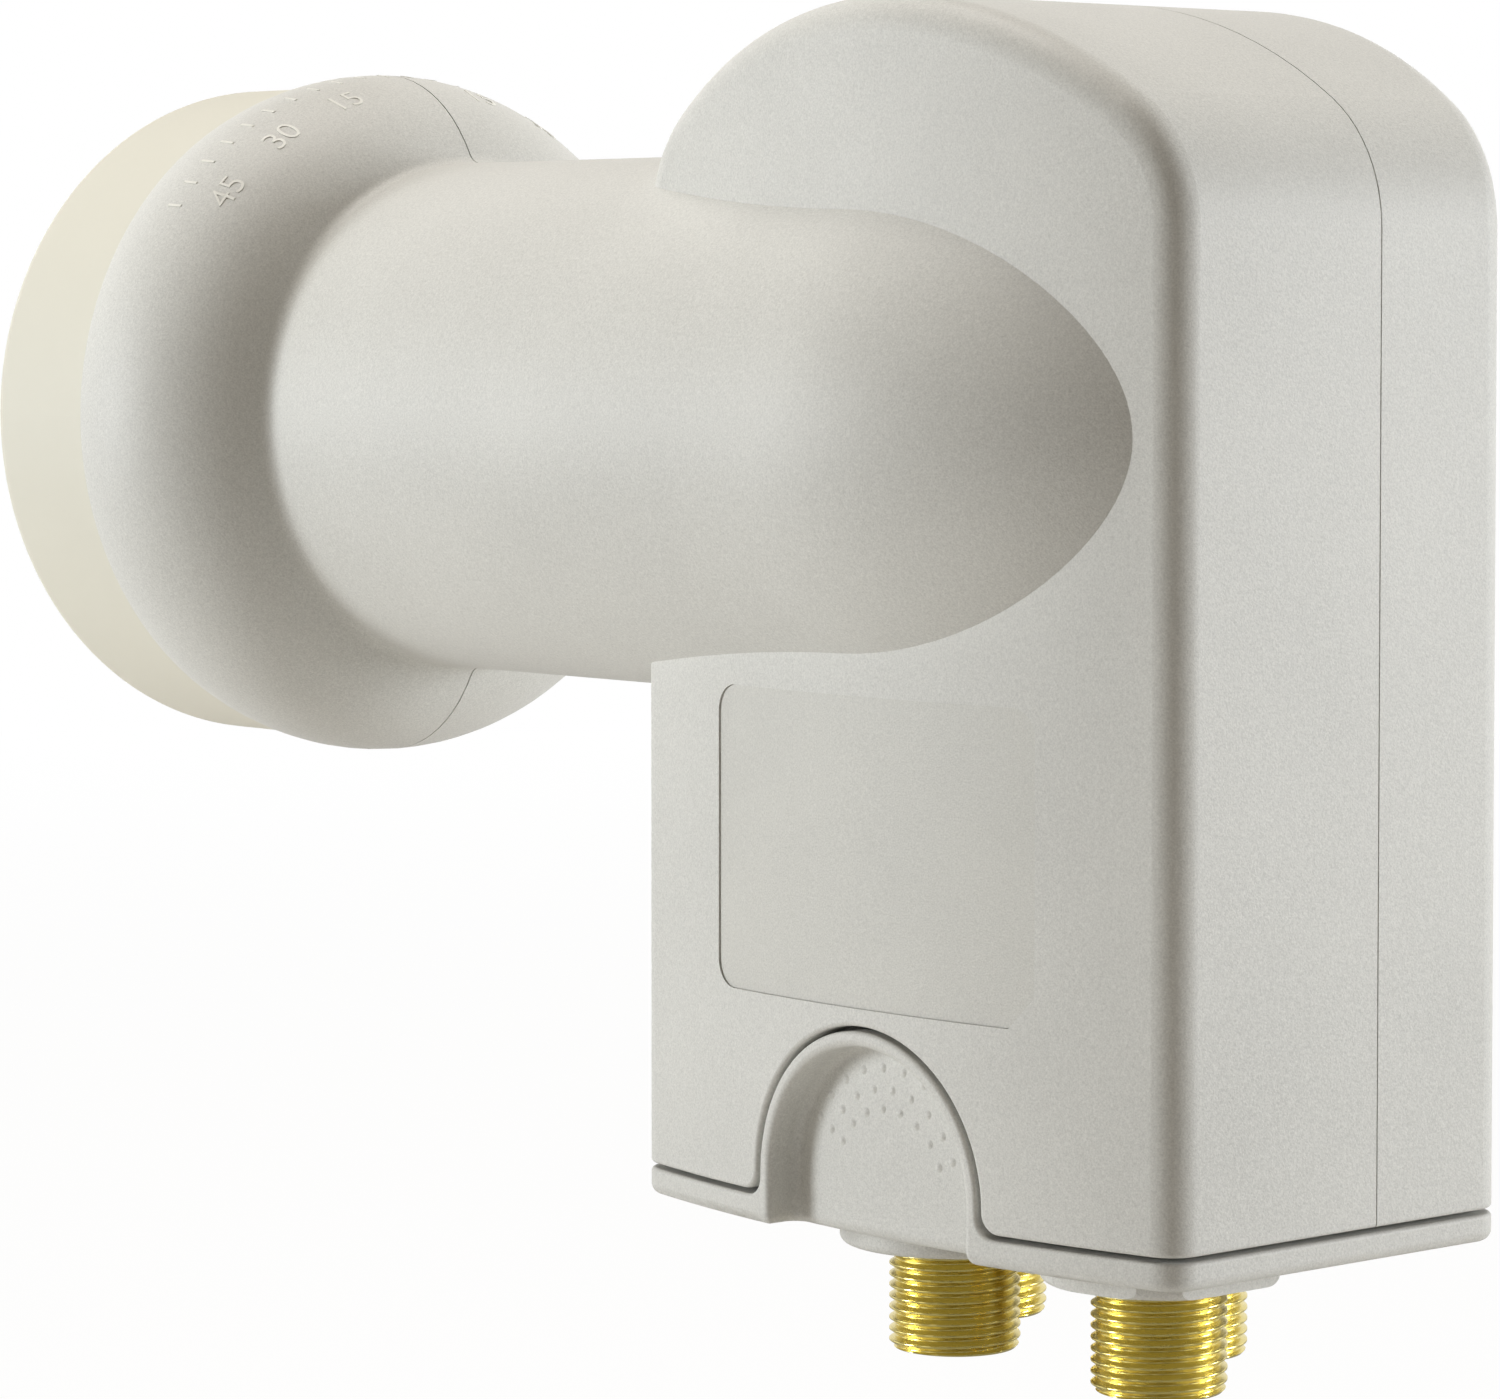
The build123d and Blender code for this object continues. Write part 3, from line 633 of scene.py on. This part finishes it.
# A bell: radius shrinks evenly with the row, height follows half a cosine wave from foot to top
def makeDots():
    s = dotSize
    rise = np.linspace(0, 1, s["rows"] + 1)[:-1, None]
    around = np.linspace(0, 2 * math.pi, s["columns"], endpoint=False)[None, :]
    bellY = np.append((s["radius"] * (1 - rise) * np.cos(around)).ravel(), 0)
    bellZ = np.append((s["radius"] * (1 - rise) * np.sin(around)).ravel(), 0)
    bellH = np.append(np.broadcast_to(0.5 - 0.5 * np.cos(math.pi * rise), (s["rows"], s["columns"])).ravel(), 1)
    bellH = bellH * (s["height"] + s["foot"]) - s["foot"]
    rows, columns = s["rows"], s["columns"]
    index = np.arange(rows * columns).reshape(rows, columns)
    quads = ringQuads(index)
    top = np.stack([index[-1], np.roll(index[-1], -1), np.full(columns, rows * columns)], -1)
    bell = quads.tolist() + top.tolist() + [index[0][::-1].tolist()]
    points, faces = [], []
    for side in (1, -1):
        for radius, count in s["arcs"]:
            for angle in np.radians(np.linspace(s["first"], s["last"], count)):
                y = s["centre"][0] + radius * math.cos(angle) + bellY
                z = s["centre"][1] + radius * math.sin(angle) + bellZ
                start = len(points) * len(bellY)
                points.append(onFace(y, z, s["floorDepth"] - bellH, side))
                faces.extend([start + v for v in (face if side > 0 else face[::-1])] for face in bell)
    return meshPiece("gripDots", np.concatenate(points) * mm, faces, "shield", "housing_plastic", s["crease"])


makeDots()
print("grip dots set")


# Label film: lies in the label field, its outline drawn in towards the middle of the field ring by ring
labelSize = {                           # mm
    "front": 27.35,                     # Y of the field's ends
    "back": 60.25,
    "low": -40.3,                       # Z of its lower and upper edge
    "high": -18.4,
    "corner": 2.0,                      # radius
    "cornerSteps": 9,
    "cut": 2.3,                         # lower back corner
    "room": 0.02,                       # between film and field wall
    "topDepth": 0.14,                   # below the face
    "bottomDepth": 0.31,
    "outlinePoints": 240,
    "rings": 24,
    "fillLap": 0.02,                    # the corner fill reaches past the field wall and the face
    "fillRise": 0.003,
    "fillSteps": 9,
}


def labelOutline():
    s = labelSize
    front, back, low, high = s["front"] + s["room"], s["back"] - s["room"], s["low"] + s["room"], s["high"] - s["room"]
    r = s["corner"]
    quarter = np.linspace(0, math.pi / 2, s["cornerSteps"])
    arcs = []
    for y, z, first in ((back - r, high - r, 0.0), (front + r, high - r, math.pi / 2), (front + r, low + r, math.pi)):
        arcs.append(np.stack([y + r * np.cos(first + quarter), z + r * np.sin(first + quarter)], -1))
    cut = np.array([(back - s["cut"], low), (back, low + s["cut"])])
    path = np.concatenate(arcs + [cut, arcs[0][:1]])
    walked = np.append(0, np.cumsum(np.hypot(*np.diff(path, axis=0).T)))
    at = np.linspace(0, walked[-1], s["outlinePoints"], endpoint=False)
    return np.interp(at, walked, path[:, 0]), np.interp(at, walked, path[:, 1])


def makeLabel():
    s = labelSize
    y, z = labelOutline()
    middleY, middleZ = (s["front"] + s["back"]) / 2, (s["low"] + s["high"]) / 2
    share = np.linspace(1, 1 / s["rings"], s["rings"])[:, None]
    share = np.concatenate([[[1.0]], share])                        # the first ring twice: wall, then top
    depth = np.full(share.shape, s["topDepth"])
    depth[0] = s["bottomDepth"]
    gridY, gridZ = middleY + share * (y - middleY), middleZ + share * (z - middleZ)
    points = onFace(gridY, gridZ, np.broadcast_to(depth, gridY.shape))
    rows, columns = gridY.shape
    index = np.arange(rows * columns).reshape(rows, columns)
    quads = ringQuads(index)
    faces = quads.tolist() + [index[-1].tolist(), index[0][::-1].tolist()]
    return meshPiece("labelFilm", points.reshape(-1, 3) * mm, faces, "housing", "housing_plastic", look="label_film")


# Corner fill: a three-sided prism flush with the face, its cut side falling evenly to a point, along the film's cut
def makeCornerFill():
    s = labelSize
    steps = np.linspace(0, 1, s["fillSteps"])
    leg = s["cut"] + s["fillLap"]
    y = s["back"] + s["fillLap"] - leg * steps
    lowZ = np.full(y.shape, s["low"] - s["fillLap"])
    cutZ = lowZ + leg * (1 - steps)
    edgeY, edgeZ = np.append(y, y[:-1]), np.append(lowZ, cutZ[:-1])    # both edges share the point
    top, bottom = onFace(edgeY, edgeZ, -s["fillRise"]), onFace(edgeY, edgeZ, s["bottomDepth"])
    last = s["fillSteps"] - 1
    low = np.arange(last + 1)
    cut = np.append(low[:-1] + last + 1, last)
    lid = np.stack([low[:-1], cut[:-1], cut[1:], low[1:]], -1).tolist()
    lid[-1] = lid[-1][:3]                                           # the point is a triangle
    ring = np.concatenate([low[:1], cut, low[-2:0:-1]])
    ahead, count = np.roll(ring, -1), len(edgeY)
    walls = np.stack([ahead, ring, ring + count, ahead + count], -1).tolist()
    faces = lid + [[v + count for v in face[::-1]] for face in lid] + walls
    return meshPiece("labelCornerFill", np.concatenate([top, bottom]) * mm, faces, "housing", "housing_plastic")


makeLabel()
makeCornerFill()
print("label film laid")
